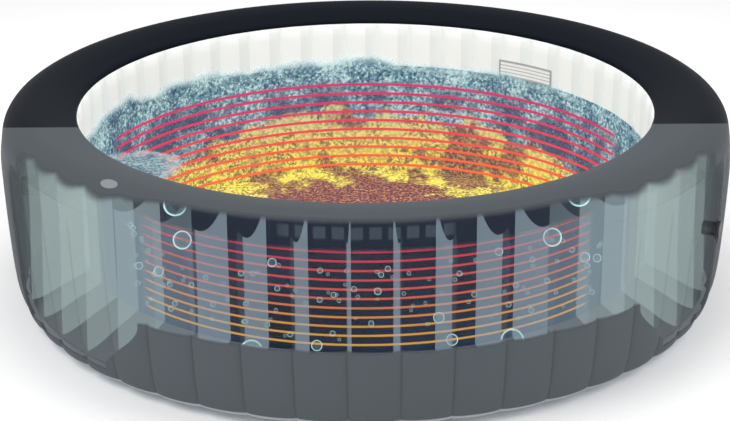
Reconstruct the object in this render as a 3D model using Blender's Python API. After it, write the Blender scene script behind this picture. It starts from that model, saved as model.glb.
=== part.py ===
"""Inflatable hot tub: a round PVC pool whose air wall is held in shape by radial baffles.

Metres, +Z up. The origin is on the ground under the middle of the tub. The front of the tub faces -Y, and an
angle is measured from the front, positive towards +X.
"""

import math

import bmesh
import bpy
import numpy as np
from mathutils import Matrix, Vector

# Driving dimensions
OUTER_RADIUS = 1.020
INNER_RADIUS = 0.806
BASE_RADIUS = 0.908
CROWN_HEIGHT = 0.568
SEAM_HEIGHT = 0.488
INNER_SEAM_HEIGHT = 0.528
BAFFLES = 48
FIRST_BAFFLE = math.radians(-2.75)
SKIN = 0.004
LINER = 0.003
GAP = 0.0004
BASE_THICKNESS = 0.004
FLOOR_TOP = 0.016
INNER_LOBE = 0.008
OUTER_LOBE = 0.012
CUSP_FOOT = 0.010
RING_CUT = math.radians(77.6)

# Baffles
BAFFLE_THICKNESS = 0.002
BAFFLE_DIP = 0.045
FRONT_BAFFLES = range(-9, 11)
RIGHT_REAR_BAFFLES = range(11, 25)
LEFT_REAR_BAFFLES = range(25, 39)
STRIP_WIDTH = 0.010

# Heating
HEAT_RADIUS = 0.7940
FILM = 0.001
WIRE_DEPTH = 0.002
WIRE_HEIGHT = 0.003
HEAT_RUNS = 11

# Fittings, as the baffle gap each one sits in, its height and the radius of its outer flange
VALVE = (9.26, 0.300, 0.028)
AIR_PORT = (13.5, 0.240, 0.033)
OUTLET_PORT = (-12.5, 0.240, 0.041)
INLET_PORT = (-13.5, 0.240, 0.041)
HEATER_GLAND = (-15.5, 0.330, 0.020)
DRAIN = (13.5, 0.036, 0.013)
WATER_PORT_RADIUS = 0.028
AIR_PORT_RADIUS = 0.020
DRAIN_RADIUS = 0.013
PORT_WALL = 0.005
NECK_LENGTH = 0.024
CAP_WALL = 0.003
FLANGE = 0.004
SEAT = 0.0005
PIN = 0.0005
HOLE_SLACK = 0.0005
VALVE_RADIUS = 0.019
VALVE_HINGE = Vector((0.0060, 0.0, -0.0330))

PITCH = 2 * math.pi / BAFFLES
OUTER_LOBE_STEPS = 3
INNER_LOBE_STEPS = 2


# ---------------------------------------------------------------- helpers


def clear_scene():
    for thing in list(bpy.data.objects):
        bpy.data.objects.remove(thing)


def material(name, colour, roughness, metallic=0.0):
    made = bpy.data.materials.get(name) or bpy.data.materials.new(name)
    made.use_nodes = True
    shader = made.node_tree.nodes["Principled BSDF"]
    shader.inputs["Base Color"].default_value = (*colour, 1.0)
    shader.inputs["Roughness"].default_value = roughness
    shader.inputs["Metallic"].default_value = metallic
    made.diffuse_color = (*colour, 1.0)
    return made


def add_object(name, bm, finish, location=Vector()):
    """Turns a bmesh in world space into an object whose origin is at the given location."""
    bmesh.ops.recalc_face_normals(bm, faces=bm.faces)
    bm.transform(Matrix.Translation(-location))
    mesh = bpy.data.meshes.new(name)
    bm.to_mesh(mesh)
    bm.free()
    mesh.materials.append(finish)
    mesh.shade_smooth()
    mesh.set_sharp_from_angle(angle=math.radians(35))
    made = bpy.data.objects.new(name, mesh)
    made.location = location
    bpy.context.scene.collection.objects.link(made)
    return made


def on_circle(radius, angle, height):
    return Vector((radius * math.sin(angle), -radius * math.cos(angle), height))


def baffle_angle(index):
    return FIRST_BAFFLE + index * PITCH


def lobe(angle):
    """0 on a baffle, 1 half way to the next: the swell of the skin between two baffles."""
    share = ((angle - FIRST_BAFFLE) / PITCH) % 1.0
    return math.sqrt(max(0.0, 1.0 - (2.0 * share - 1.0) ** 2) + 1e-12)


def sweep(bm, section, angles, closed=False):
    """Sweeps a closed section round the tub's axis. section(angle) gives the section's (radius, height) points."""
    rings = []
    for angle in angles:
        rings.append([bm.verts.new(on_circle(r, angle, z)) for r, z in section(angle)])
    pairs = list(zip(rings, rings[1:]))
    if closed:
        pairs.append((rings[-1], rings[0]))
    for here, there in pairs:
        for i in range(len(here)):
            j = (i + 1) % len(here)
            bm.faces.new((here[i], here[j], there[j], there[i]))
    if not closed:
        for ring in (rings[0], rings[-1]):
            cap_strip(bm, ring)


def cap_strip(bm, ring):
    """Closes the end of a swept sheet, whose section is two rows of points that face each other."""
    half = len(ring) // 2
    for i in range(half - 1):
        bm.faces.new((ring[i], ring[i + 1], ring[-i - 2], ring[-i - 1]))


def sheet_section(profile, thickness, angle, inward_lobes):
    """A sheet's section from (radius, height, lobe depth) points, thickened towards the air chamber."""
    swell = lobe(angle)
    face = []
    for radius, height, depth in profile:
        shift = -depth * swell if inward_lobes else -depth * (1.0 - swell)
        face.append(Vector((radius + shift, height)))
    back = []
    for i, point in enumerate(face):
        along = face[min(i + 1, len(face) - 1)] - face[max(i - 1, 0)]
        normal = Vector((-along.y, along.x)).normalized()
        if i in (0, len(face) - 1):
            normal = squared(normal)
        back.append(point + normal * thickness)
    return [tuple(p) for p in face + back[::-1]]


def squared(normal):
    """The level or upright direction nearest to a sheet's normal, so that its edges meet their neighbours flat."""
    if abs(normal.x) > abs(normal.y):
        return Vector((math.copysign(1.0, normal.x), 0.0))
    return Vector((0.0, math.copysign(1.0, normal.y)))


def add_sheet(name, profile, thickness, angles, finish, inward_lobes=False, closed=False):
    bm = bmesh.new()
    sweep(bm, lambda a: sheet_section(profile, thickness, a, inward_lobes), angles, closed)
    return add_object(name, bm, finish)


def lobe_angles(first, last, steps):
    """Angles from one baffle to another, with points between them that follow the lobes."""
    return [baffle_angle(first + i / steps) for i in range((last - first) * steps + 1)]


def even_angles(start, stop, steps):
    return [start + (stop - start) * i / steps for i in range(steps + 1)]


def profile_radius(profile, height, trough=True):
    """The radius of a rising profile at a height, in the trough on a baffle or on the crest between two."""
    heights = [z for r, z, d in profile]
    radii = [r - d if trough else r for r, z, d in profile]
    return float(np.interp(height, heights, radii))


def station_radius(spot):
    """The radius at which a fitting's upright flange just clears the sloping wall."""
    height, flange = spot[1:]
    return max(profile_radius(OUTER_PROFILE, height + side * flange, trough=False) for side in (-1, 0, 1))


def station(spot):
    """Matrix of a fitting: X points out of the tub, Z up, and the origin is on the wall between two baffles."""
    index, height, _ = spot
    angle = baffle_angle(index)
    radius = station_radius(spot)
    out = on_circle(1.0, angle, 0.0)
    side = Vector((math.cos(angle), math.sin(angle), 0.0))
    turn = Matrix((out, side, Vector((0, 0, 1)))).transposed().to_4x4()
    return Matrix.Translation(on_circle(radius, angle, height)) @ turn


def inner_reach(spot):
    """Distance from a fitting's origin in to the crest of the inner wall."""
    return station_radius(spot) - (INNER_RADIUS - INNER_LOBE)


def turn_profile(bm, points, segments, matrix):
    """Turns a closed (radius, distance out) outline about the X axis of a station."""
    rings = []
    for i in range(segments):
        a = 2 * math.pi * i / segments
        spin = (math.cos(a), math.sin(a))
        rings.append([bm.verts.new(matrix @ Vector((x, r * spin[0], r * spin[1]))) for r, x in points])
    for i in range(segments):
        here, there = rings[i], rings[(i + 1) % segments]
        for j in range(len(points)):
            k = (j + 1) % len(points)
            bm.faces.new((here[j], here[k], there[k], there[j]))


def solid_of_turn(bm, points, segments, matrix):
    """As turn_profile, for an outline that starts and ends on the axis, with its end points left open there."""
    rings = []
    for r, x in points:
        ring = []
        for i in range(segments):
            a = 2 * math.pi * i / segments
            ring.append(bm.verts.new(matrix @ Vector((x, r * math.cos(a), r * math.sin(a)))))
        rings.append(ring)
    for here, there in zip(rings, rings[1:]):
        for i in range(segments):
            j = (i + 1) % segments
            bm.faces.new((here[i], here[j], there[j], there[i]))
    bm.faces.new(rings[0])
    bm.faces.new(rings[-1])


def add_turned(name, points, segments, matrix, finish, solid=False):
    bm = bmesh.new()
    if solid:
        solid_of_turn(bm, points, segments, matrix)
    else:
        turn_profile(bm, points, segments, matrix)
    return add_object(name, bm, finish, matrix.translation.copy())


def add_box_to(bm, low, high, matrix):
    corners = [Vector((x, y, z)) for x in (low[0], high[0]) for y in (low[1], high[1]) for z in (low[2], high[2])]
    verts = [bm.verts.new(matrix @ c) for c in corners]
    for face in ((0, 1, 3, 2), (4, 6, 7, 5), (0, 4, 5, 1), (2, 3, 7, 6), (0, 2, 6, 4), (1, 5, 7, 3)):
        bm.faces.new([verts[i] for i in face])


def boolean(target, other, operation):
    bpy.context.view_layer.update()
    step = target.modifiers.new(operation.lower() + "_" + other.name, "BOOLEAN")
    step.operation = operation
    step.solver = "EXACT"
    step.object = other
    other.hide_render = True
    other.display_type = "WIRE"


def cut_hole(target, spot, radius, start, stop):
    """Cuts a round hole along a fitting's axis."""
    bm = bmesh.new()
    solid_of_turn(bm, [(radius, start), (radius, stop)], 18, station(spot))
    cutter = add_object(f"cutter_{target.name}_{len(target.modifiers)}", bm, target.data.materials[0])
    boolean(target, cutter, "DIFFERENCE")


# ---------------------------------------------------------------- profiles

# (radius on the lobe's crest, height, depth of the trough on a baffle), from the base weld up
OUTER_PROFILE = [
    (BASE_RADIUS - 0.010, BASE_THICKNESS + GAP, 0.0),
    (0.965, 0.019, 0.8 * CUSP_FOOT),
    (0.992, 0.058, CUSP_FOOT),
    (1.008, 0.160, OUTER_LOBE),
    (OUTER_RADIUS, 0.400, 0.8 * OUTER_LOBE),
    (1.013, SEAM_HEIGHT, 0.0),
]

# Over the top, from the outer seam to the inner one
TOP_PROFILE = [
    (1.013, SEAM_HEIGHT + GAP, 0.0),
    (1.005, 0.522, 0.0),
    (0.982, 0.550, 0.0),
    (0.940, CROWN_HEIGHT, 0.0),
    (0.880, 0.563, 0.0),
    (0.828, 0.547, 0.0),
    (0.810, 0.538, 0.0),
    (INNER_RADIUS, INNER_SEAM_HEIGHT + GAP, 0.0),
]

# Down the wet side, from the rim to the floor
INNER_PROFILE = [
    (INNER_RADIUS, INNER_SEAM_HEIGHT, 0.0),
    (INNER_RADIUS, 0.490, INNER_LOBE),
    (INNER_RADIUS, 0.050, INNER_LOBE),
    (INNER_RADIUS, FLOOR_TOP + GAP, 0.0),
]

CHAMBER_BACK = INNER_RADIUS + LINER + GAP
WEB_OUTER_HEIGHT = 0.058
WEB_INNER_HEIGHT = 0.138


# ---------------------------------------------------------------- skins


def make_skins(black, smoke, white, grey):
    wall_front = lobe_angles(-12, 13, OUTER_LOBE_STEPS)
    wall_rear = lobe_angles(13, 36, OUTER_LOBE_STEPS)
    trim_to_front(wall_rear)
    front = add_sheet("outer_wall_front", OUTER_PROFILE, SKIN, wall_front, smoke)
    rear = add_sheet("outer_wall_rear", OUTER_PROFILE, SKIN, wall_rear, black)
    cut_hole(front, VALVE, VALVE_RADIUS + HOLE_SLACK, -0.03, 0.03)
    cut_hole(rear, AIR_PORT, AIR_PORT_RADIUS + HOLE_SLACK, -0.03, 0.03)
    cut_hole(rear, OUTLET_PORT, WATER_PORT_RADIUS + HOLE_SLACK, -0.03, 0.03)
    cut_hole(rear, INLET_PORT, WATER_PORT_RADIUS + HOLE_SLACK, -0.03, 0.03)
    cut_hole(rear, HEATER_GLAND, 0.0125, -0.03, 0.03)
    cut_hole(rear, DRAIN, DRAIN_RADIUS + HOLE_SLACK, -0.06, 0.03)

    ring_gap = GAP / OUTER_RADIUS
    add_sheet("top_ring_front", TOP_PROFILE, SKIN, even_angles(-RING_CUT, RING_CUT, 24), smoke)
    rear_span = even_angles(RING_CUT + ring_gap, 2 * math.pi - RING_CUT - ring_gap, 32)
    add_sheet("top_ring_rear", TOP_PROFILE, SKIN, rear_span, black)

    clear_front = lobe_angles(-10, 11, INNER_LOBE_STEPS)
    white_rear = lobe_angles(11, 38, INNER_LOBE_STEPS)
    trim_to_front(white_rear)
    add_sheet("inner_wall_front", INNER_PROFILE, LINER, clear_front, smoke, inward_lobes=True)
    liner = add_sheet("inner_wall_rear", INNER_PROFILE, LINER, white_rear, white, inward_lobes=True)
    for spot, radius in ((AIR_PORT, AIR_PORT_RADIUS), (OUTLET_PORT, WATER_PORT_RADIUS),
                         (INLET_PORT, WATER_PORT_RADIUS), (DRAIN, DRAIN_RADIUS)):
        reach = inner_reach(spot)
        cut_hole(liner, spot, radius + HOLE_SLACK, -reach - 0.02, -reach + 0.03)
    make_chamber_base(grey)


def trim_to_front(angles):
    """Draws the two ends of a rear span in, so that it doesn't touch the front one."""
    angles[0] += GAP / INNER_RADIUS
    angles[-1] -= GAP / INNER_RADIUS


def make_chamber_base(finish):
    """The sloping panel that closes the underside of the baffled air chamber."""
    foot = profile_radius(OUTER_PROFILE, WEB_OUTER_HEIGHT - 0.01) - SKIN - 0.003
    profile = [
        (CHAMBER_BACK + 0.001, WEB_INNER_HEIGHT - SKIN - GAP, 0.0),
        (foot, WEB_OUTER_HEIGHT - SKIN - GAP, 0.0),
    ]
    add_sheet("chamber_base", profile, LINER, lobe_angles(0, BAFFLES, 1)[:-1], finish, closed=True)


def make_base(finish, floor_finish):
    flat = Matrix.Rotation(math.radians(-90), 4, "Y")
    edge = BASE_THICKNESS * 0.3
    base = [(BASE_RADIUS - edge, 0.0), (BASE_RADIUS, edge), (BASE_RADIUS, BASE_THICKNESS - edge),
            (BASE_RADIUS - edge, BASE_THICKNESS)]
    add_turned("base_sheet", base, 72, flat, finish, solid=True)
    floor_bottom = BASE_THICKNESS + GAP
    radius = BASE_RADIUS - 0.080
    floor = [(radius, floor_bottom), (radius, FLOOR_TOP - 0.006), (radius - 0.004, FLOOR_TOP),
             (radius - 0.010, FLOOR_TOP)]
    add_turned("floor_liner", floor, 48, flat, floor_finish, solid=True)


# ---------------------------------------------------------------- baffles


def baffle_outline():
    """The baffle in (radius, height): straight welded edges, a sloping foot and a concave top with two horns."""
    outer = []
    for height in (WEB_OUTER_HEIGHT + 0.004, 0.160, 0.400, SEAM_HEIGHT):
        outer.append((profile_radius(OUTER_PROFILE, height) - SKIN - 2 * GAP, height))
    outer[-1] = (outer[-1][0] - 0.002, SEAM_HEIGHT - 0.001)
    outer_horn = Vector((outer[-1][0] - 0.013, 0.524))
    inner_horn = Vector((CHAMBER_BACK + 0.006, 0.520))
    middle = (outer_horn + inner_horn) / 2 - Vector((0, 2 * BAFFLE_DIP))
    arc = []
    for i in range(8):
        t = i / 7
        arc.append(tuple((1 - t) ** 2 * outer_horn + 2 * t * (1 - t) * middle + t ** 2 * inner_horn))
    inner = [(CHAMBER_BACK, 0.505), (CHAMBER_BACK, WEB_INNER_HEIGHT + 0.002)]
    return outer + arc + inner


def add_plate_to(bm, outline, angle, thickness):
    """A flat radial plate at an angle round the tub, from an outline in (radius, height)."""
    side = Vector((math.cos(angle), math.sin(angle), 0.0))
    faces = []
    for offset in (-thickness / 2, thickness / 2):
        faces.append([bm.verts.new(on_circle(r, angle, z) + side * offset) for r, z in outline])
    near, far = faces
    bm.faces.new(near)
    bm.faces.new(far[::-1])
    for i in range(len(outline)):
        j = (i + 1) % len(outline)
        bm.faces.new((near[i], far[i], far[j], near[j]))


def make_front_baffles(finish):
    for number, index in enumerate(FRONT_BAFFLES, start=1):
        bm = bmesh.new()
        add_plate_to(bm, baffle_outline(), baffle_angle(index), BAFFLE_THICKNESS)
        add_object(f"baffle_{number:02d}", bm, finish)


def make_rear_baffles(name, indices, finish):
    """A run of baffles on one weld strip, which is how they are cut and laid into the wall."""
    angles = [baffle_angle(i) for i in indices]
    strip_height = WEB_INNER_HEIGHT + 0.030
    low, high = CHAMBER_BACK + 0.008, CHAMBER_BACK + 0.008 + STRIP_WIDTH
    section = [(low, strip_height), (high, strip_height), (high, strip_height + 0.002), (low, strip_height + 0.002)]
    bm = bmesh.new()
    sweep(bm, lambda a: section, even_angles(angles[0] - 0.004, angles[-1] + 0.004, len(angles) - 1))
    strip = add_object(name, bm, finish)
    bm = bmesh.new()
    for angle in angles:
        add_plate_to(bm, baffle_outline(), angle, BAFFLE_THICKNESS)
    plates = add_object(name + "_plates", bm, finish)
    boolean(strip, plates, "UNION")


# ---------------------------------------------------------------- heating and air


def heat_rows(low, high):
    return [low + (high - low) * i / (HEAT_RUNS - 1) for i in range(HEAT_RUNS)]


def make_heater(name, angles, low, high, film_finish, wire_finish):
    """A clear film with a serpentine track on its wet face: level runs joined at alternate ends."""
    margin = 0.012
    film = [
        (HEAT_RADIUS + FILM, low - margin), (HEAT_RADIUS, low - margin),
        (HEAT_RADIUS, high + margin), (HEAT_RADIUS + FILM, high + margin),
    ]
    bm = bmesh.new()
    sweep(bm, lambda a: film, angles)
    add_object("heat_film_" + name, bm, film_finish)

    bend = WIRE_HEIGHT / HEAT_RADIUS
    track = [angles[1], angles[1] + bend, *angles[2:-2], angles[-2] - bend, angles[-2]]
    back, front = HEAT_RADIUS - 2 * GAP, HEAT_RADIUS - 2 * GAP - WIRE_DEPTH
    rows = heat_rows(low, high)
    bm = bmesh.new()
    ends = []
    for z in rows:
        bottom, top = z - WIRE_HEIGHT / 2, z + WIRE_HEIGHT / 2
        corners = ((back, bottom), (front, bottom), (front, top), (back, top))
        rings = [[bm.verts.new(on_circle(r, a, h)) for r, h in corners] for a in track]
        for here, there in zip(rings[:-1], rings[1:]):
            for i in range(4):
                if here is rings[0] or there is rings[-1]:
                    continue
                j = (i + 1) % 4
                bm.faces.new((here[i], here[j], there[j], there[i]))
        ends.append(rings)
    close_serpentine(bm, ends)
    add_object("heat_wire_" + name, bm, wire_finish)


def close_serpentine(bm, runs):
    """Fills the first and last bay of every run, and the risers that join the runs at alternate ends."""
    for row, rings in enumerate(runs):
        for end, (cap, inside) in enumerate(((rings[0], rings[1]), (rings[-1], rings[-2]))):
            up_here = row + 1 < len(runs) and row % 2 == end
            down_here = row > 0 and row % 2 != end
            for i in range(4):
                j = (i + 1) % 4
                if (i == 2 and up_here) or (i == 0 and down_here):
                    continue
                bm.faces.new((cap[i], cap[j], inside[j], inside[i]))
            bm.faces.new(cap)
            if not up_here:
                continue
            above = runs[row + 1][0 if end == 0 else -1]
            above_inside = runs[row + 1][1 if end == 0 else -2]
            bm.faces.new((cap[2], above[1], above_inside[1], inside[2]))
            bm.faces.new((cap[3], inside[3], above_inside[0], above[0]))
            bm.faces.new((cap[2], cap[3], above[0], above[1]))
            bm.faces.new((inside[3], inside[2], above_inside[1], above_inside[0]))


def make_air_channel(finish):
    """The duct welded round the floor that lets the bubbles out: an upturned channel, open below."""
    low, wide, tall, wall = FLOOR_TOP + GAP, 0.060, 0.012, 0.002
    inside = 0.700
    section = [
        (inside, low), (inside + 0.006, low + tall), (inside + wide - 0.006, low + tall), (inside + wide, low),
        (inside + wide - wall, low), (inside + wide - 0.006 - wall, low + tall - wall),
        (inside + 0.006 + wall, low + tall - wall), (inside + wall, low),
    ]
    bm = bmesh.new()
    sweep(bm, lambda a: section, even_angles(0.0, 2 * math.pi, 36)[:-1], closed=True)
    add_object("air_channel", bm, finish)


# ---------------------------------------------------------------- fittings


def make_valve(body_finish, cap_finish, steel):
    """One-way inflation valve: welded body, poppet on a spring, and a cap on a moulded hinge."""
    at = station(VALVE)
    flange, bore = VALVE[2], VALVE_RADIUS - 0.004
    body = [
        (bore, 0.0070), (0.0215, 0.0070), (0.0215, 0.0030), (flange, 0.0030), (flange, SEAT),
        (VALVE_RADIUS, SEAT), (VALVE_RADIUS, -0.0360), (bore, -0.0360), (bore, -0.0232), (0.0090, -0.0232),
        (0.0090, -0.0200), (bore, -0.0200),
    ]
    add_turned("valve_body", body, 18, at, body_finish)
    stem = [
        (PIN, -0.0275), (0.0125, -0.0275), (0.0125, -0.0236), (0.0025, -0.0236),
        (0.0025, -0.0045), (0.0125, -0.0045), (0.0125, -0.0030), (PIN, -0.0030),
    ]
    add_turned("valve_stem", stem, 16, at, body_finish, solid=True)
    add_helix("valve_spring", at, 0.0106, 0.0006, -0.0192, -0.0053, 4, steel)
    make_valve_cap(at, cap_finish)


def add_helix(name, matrix, radius, wire, start, stop, turns, finish):
    points = 8 * turns
    curve = bpy.data.curves.new(name, "CURVE")
    curve.dimensions = "3D"
    curve.bevel_depth = wire
    curve.bevel_resolution = 1
    curve.use_fill_caps = True
    line = curve.splines.new("POLY")
    line.points.add(points)
    for i in range(points + 1):
        a = 2 * math.pi * turns * i / points
        x = start + (stop - start) * i / points
        line.points[i].co = (x, radius * math.cos(a), radius * math.sin(a), 1.0)
    curve.materials.append(finish)
    made = bpy.data.objects.new(name, curve)
    made.matrix_world = matrix
    bpy.context.scene.collection.objects.link(made)


def make_valve_cap(at, finish):
    """The cap's origin is on its hinge, below the valve."""
    cup = [(PIN, 0.0120), (0.0215, 0.0120), (0.0240, 0.0105), (0.0240, 0.0038), (0.0222, 0.0038),
           (0.0222, 0.0088), (PIN, 0.0088)]
    hinge = at @ VALVE_HINGE
    bm = bmesh.new()
    solid_of_turn(bm, cup, 20, at)
    cap = add_object("valve_cap", bm, finish, hinge)
    bm = bmesh.new()
    add_box_to(bm, (0.0042, -0.007, -0.0350), (0.0076, 0.007, -0.0228), at)
    strap = add_object("valve_cap_strap", bm, finish, hinge)
    boolean(cap, strap, "UNION")


def port_outline(radius, spot, inner_flange):
    """A tube through the wall: inner flange, tube, outer flange and threaded neck, with a straight bore."""
    wet = -inner_reach(spot) - SEAT
    bore = radius - PORT_WALL
    flange = spot[2]
    return [
        (bore, wet - 0.003), (inner_flange, wet - 0.003), (inner_flange, wet), (radius, wet),
        (radius, SEAT), (flange, SEAT), (flange, SEAT + FLANGE), (radius, SEAT + FLANGE),
        (radius, NECK_LENGTH), (bore, NECK_LENGTH),
    ]


def make_screw_port(name, spot, tube_finish, cap_finish, seal_finish):
    """A water port with its screw cap and the seal washer that the cap presses on the neck."""
    at = station(spot)
    radius = WATER_PORT_RADIUS
    add_turned(name + "_tube", port_outline(radius, spot, 0.036), 18, at, tube_finish)
    add_screw_cap(name, at, radius, NECK_LENGTH, cap_finish, seal_finish)


def add_screw_cap(name, at, radius, neck, cap_finish, seal_finish):
    """Cap and washer over the end of a neck of that radius."""
    bore = radius - PORT_WALL
    washer = [(bore - 0.003, neck + SEAT), (radius - SEAT, neck + SEAT), (radius - SEAT, neck + 0.0025),
              (bore - 0.003, neck + 0.0025)]
    add_turned(name + "_seal", washer, 18, at, seal_finish)
    inside, outside = radius + 0.0008, radius + 0.0008 + CAP_WALL
    top = neck + 0.0030
    cup = [
        (PIN, top + CAP_WALL), (outside - 0.002, top + CAP_WALL), (outside, top + CAP_WALL - 0.002),
        (outside, 0.5 * neck), (inside, 0.5 * neck), (inside, top), (PIN, top),
    ]
    bm = bmesh.new()
    solid_of_turn(bm, cup, 18, at)
    cap = add_object(name + "_cap", bm, cap_finish, at.translation.copy())
    bm = bmesh.new()
    grip = outside * 0.92
    add_box_to(bm, (top + CAP_WALL - 0.001, -grip, -0.003), (top + CAP_WALL + 0.006, grip, 0.003), at)
    bar = add_object(name + "_cap_bar", bm, cap_finish)
    boolean(cap, bar, "UNION")


def make_air_port(tube_finish, cap_finish):
    """The port for the blower hose, with its push-in plug."""
    at = station(AIR_PORT)
    add_turned("air_port_tube", port_outline(AIR_PORT_RADIUS, AIR_PORT, 0.028), 18, at, tube_finish)
    bore = AIR_PORT_RADIUS - PORT_WALL
    plug = [
        (PIN, NECK_LENGTH + SEAT + FLANGE), (AIR_PORT_RADIUS, NECK_LENGTH + SEAT + FLANGE),
        (AIR_PORT_RADIUS, NECK_LENGTH + SEAT), (bore - SEAT, NECK_LENGTH + SEAT),
        (bore - 0.0015, NECK_LENGTH - 0.0120), (PIN, NECK_LENGTH - 0.0120),
    ]
    add_turned("air_port_plug", plug, 18, at, cap_finish, solid=True)


def make_filter(frame_finish, media_finish):
    """The strainer on the inlet's inner flange, and the cartridge that twists onto its spigot."""
    at = station(INLET_PORT)
    wet = -inner_reach(INLET_PORT) - 0.0040
    spigot = [
        (0.0220, wet), (0.0440, wet), (0.0440, wet - 0.004), (0.0180, wet - 0.004), (0.0180, wet - 0.022),
        (0.0140, wet - 0.022), (0.0140, wet - 0.003), (0.0220, wet - 0.003),
    ]
    add_turned("filter_mount", spigot, 18, at, frame_finish)
    near, far = wet - 0.0045, wet - 0.0945
    cartridge = [
        (0.0190, near), (0.0500, near), (0.0500, near - 0.008), (0.0450, near - 0.008), (0.0450, far + 0.008),
        (0.0500, far + 0.008), (0.0500, far), (0.0190, far),
    ]
    add_turned("filter_cartridge", cartridge, 18, at, media_finish)


def make_drain(tube_finish, cap_finish, seal_finish):
    """The low drain tube, its screw cap outside and its plug inside."""
    at = station(DRAIN)
    wet = -inner_reach(DRAIN) - SEAT
    bore = DRAIN_RADIUS - 0.003
    neck = 0.026
    tube = [
        (bore, wet - 0.002), (0.0180, wet - 0.002), (0.0180, wet), (DRAIN_RADIUS, wet),
        (DRAIN_RADIUS, neck), (bore, neck),
    ]
    add_turned("drain_tube", tube, 16, at, tube_finish)
    plug = [
        (PIN, wet - 0.0065), (0.0160, wet - 0.0065), (0.0160, wet - 0.0025), (bore - SEAT, wet - 0.0025),
        (bore - 0.0015, wet + 0.0120), (PIN, wet + 0.0120),
    ]
    add_turned("drain_plug", plug, 16, at, cap_finish, solid=True)
    add_screw_cap("drain", at, DRAIN_RADIUS, neck, cap_finish, seal_finish)


def make_gland(finish):
    """Strain relief where the heater's supply lead enters the wall."""
    body = [
        (0.0040, -0.0120), (0.0120, -0.0120), (0.0120, SEAT), (0.0200, SEAT), (0.0200, 0.0040),
        (0.0150, 0.0040), (0.0140, 0.0140), (0.0080, 0.0260), (0.0040, 0.0260),
    ]
    add_turned("heater_gland", body, 20, station(HEATER_GLAND), finish)


def make_label_and_badge(label_finish, badge_finish):
    """A blank instruction label above the water, and a plain oval badge on the rim."""
    middle, half = math.radians(140.7), 0.100 / INNER_RADIUS
    low, high, film = 0.392, 0.446, 0.0008
    outside = INNER_RADIUS - INNER_LOBE - SEAT
    section = [(outside, low), (outside - film, low), (outside - film, high), (outside, high)]
    bm = bmesh.new()
    sweep(bm, lambda a: section, even_angles(middle - half, middle + half, 6))
    add_object("blank_label", bm, label_finish)

    angle = math.radians(-41.0)
    crown, shoulder = Vector(TOP_PROFILE[3][:2]), Vector(TOP_PROFILE[2][:2])
    seat_radius, seat_height = (crown + shoulder) / 2
    slope = (shoulder - crown).normalized()
    out = on_circle(1.0, angle, 0.0)
    side = Vector((math.cos(angle), math.sin(angle), 0.0))
    up = Vector((0, 0, 1))
    along, normal = out * slope.x + up * slope.y, up * slope.x - out * slope.y
    middle = on_circle(seat_radius, angle, seat_height)
    bm = bmesh.new()
    rings = []
    for lift in (0.0015, 0.0030):
        ring = []
        for i in range(24):
            a = 2 * math.pi * i / 24
            ring.append(bm.verts.new(middle + side * 0.028 * math.cos(a) + along * 0.015 * math.sin(a) + normal * lift))
        rings.append(ring)
    for i in range(24):
        j = (i + 1) % 24
        bm.faces.new((rings[0][i], rings[0][j], rings[1][j], rings[1][i]))
    bm.faces.new(rings[0])
    bm.faces.new(rings[1])
    add_object("rim_badge", bm, badge_finish, middle)


# ---------------------------------------------------------------- assembly


def main():
    clear_scene()
    black = material("black_pvc", (0.018, 0.022, 0.026), 0.45)
    smoke = material("smoke_pvc", (0.110, 0.125, 0.140), 0.35)
    white = material("white_liner", (0.83, 0.85, 0.85), 0.5)
    grey = material("base_pvc", (0.30, 0.32, 0.34), 0.55)
    baffle = material("baffle_sheet", (0.36, 0.46, 0.48), 0.5)
    film = material("heater_film", (0.60, 0.45, 0.40), 0.3)
    track = material("heater_track", (0.85, 0.20, 0.05), 0.4)
    moulding = material("black_moulding", (0.03, 0.03, 0.033), 0.4)
    fitting = material("grey_fitting", (0.45, 0.47, 0.50), 0.4)
    rubber = material("seal_rubber", (0.02, 0.02, 0.02), 0.8)
    steel = material("spring_steel", (0.60, 0.60, 0.60), 0.3, 1.0)
    media = material("filter_media", (0.80, 0.84, 0.88), 0.8)
    print_white = material("label_film", (0.75, 0.77, 0.77), 0.5)

    make_skins(black, smoke, white, grey)
    make_base(grey, white)
    make_front_baffles(baffle)
    make_rear_baffles("baffles_rear_right", RIGHT_REAR_BAFFLES, baffle)
    make_rear_baffles("baffles_rear_left", LEFT_REAR_BAFFLES, baffle)
    half = math.radians(48.0)
    make_heater("front", even_angles(-half, half, 10), 0.151, 0.403, film, track)
    make_heater("rear", even_angles(math.radians(109), math.radians(251), 14), 0.030, 0.330, film, track)
    make_air_channel(white)
    make_valve(moulding, moulding, steel)
    make_air_port(fitting, moulding)
    make_screw_port("outlet", OUTLET_PORT, fitting, moulding, rubber)
    make_screw_port("inlet", INLET_PORT, fitting, moulding, rubber)
    make_filter(fitting, media)
    make_drain(fitting, moulding, rubber)
    make_gland(moulding)
    make_label_and_badge(print_white, print_white)


main()
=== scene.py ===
"""Looks of the inflatable hot tub: skins, baffles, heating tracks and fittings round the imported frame.

Metres, +Z up. The front of the tub faces -Y. An angle round the tub is measured from the front, towards +X.
"""

import math
import random

import bmesh
import bpy
from mathutils import Matrix, Vector, noise


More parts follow.
